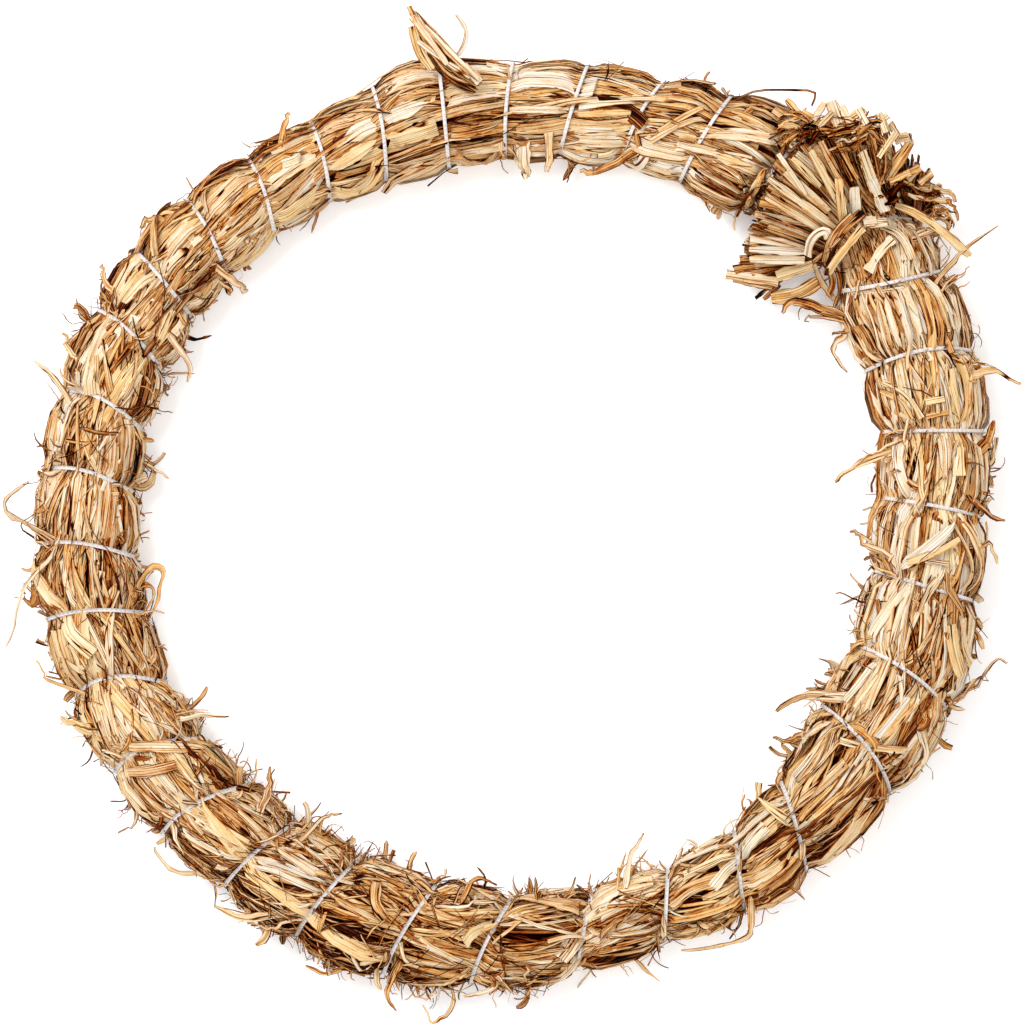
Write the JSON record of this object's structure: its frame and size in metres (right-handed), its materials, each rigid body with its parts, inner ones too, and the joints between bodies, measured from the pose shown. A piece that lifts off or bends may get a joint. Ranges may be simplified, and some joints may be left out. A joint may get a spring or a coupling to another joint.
{
  "type": "straw wreath ring",
  "caption": "Ring of bundled straw wound with pale thread, with a splayed broom-like end, a small tied sprig and stray blades that stick out of it.",
  "frame": {"origin": "middle of the outline's box, on the plane the ring lies on", "axes": "+Z upright through the ring's hole, towards the side that shows in the picture; +Y towards the sprig; +X towards the right of the picture"},
  "size_m": [0.3269, 0.3238, 0.0443],
  "materials": {
    "straw": "dry golden-brown straw in fine lengthwise fibres, matt with a faint sheen",
    "pale_straw": "pale cream-gold straw blades with lengthwise ribs, satin",
    "thread": "grey-white twisted yarn, matt"
  },
  "bodies": {
    "root": {"straw_ring": "straw", "binding_thread": "thread", "splayed_end": "pale_straw", "tied_sprig": "straw", "loose_straw_01": "pale_straw", "loose_straw_02": "pale_straw", "loose_straw_03": "pale_straw", "loose_straw_04": "pale_straw", "loose_straw_05": "pale_straw", "loose_straw_06": "pale_straw", "loose_straw_07": "pale_straw", "loose_straw_08": "pale_straw", "loose_straw_09": "pale_straw", "loose_straw_10": "pale_straw", "loose_straw_11": "pale_straw", "loose_straw_12": "pale_straw", "loose_straw_13": "pale_straw", "loose_straw_14": "pale_straw", "loose_straw_15": "pale_straw", "loose_straw_16": "pale_straw", "loose_straw_17": "pale_straw", "loose_straw_18": "pale_straw", "loose_straw_19": "pale_straw", "loose_straw_20": "pale_straw", "loose_straw_21": "pale_straw", "loose_straw_22": "pale_straw", "loose_straw_23": "pale_straw", "loose_straw_24": "pale_straw", "loose_straw_25": "pale_straw", "loose_straw_26": "pale_straw", "loose_straw_27": "pale_straw", "loose_straw_28": "pale_straw", "loose_straw_29": "pale_straw", "loose_straw_30": "pale_straw", "loose_straw_31": "pale_straw", "loose_straw_32": "pale_straw", "loose_straw_33": "pale_straw", "loose_straw_34": "pale_straw", "loose_straw_35": "pale_straw", "loose_straw_36": "pale_straw", "loose_straw_37": "pale_straw", "loose_straw_38": "pale_straw", "loose_straw_39": "pale_straw", "loose_straw_40": "pale_straw", "loose_straw_41": "pale_straw", "loose_straw_42": "pale_straw", "loose_straw_43": "pale_straw", "loose_straw_44": "pale_straw", "loose_straw_45": "pale_straw", "loose_straw_46": "pale_straw"}
  },
  "joints": []
}
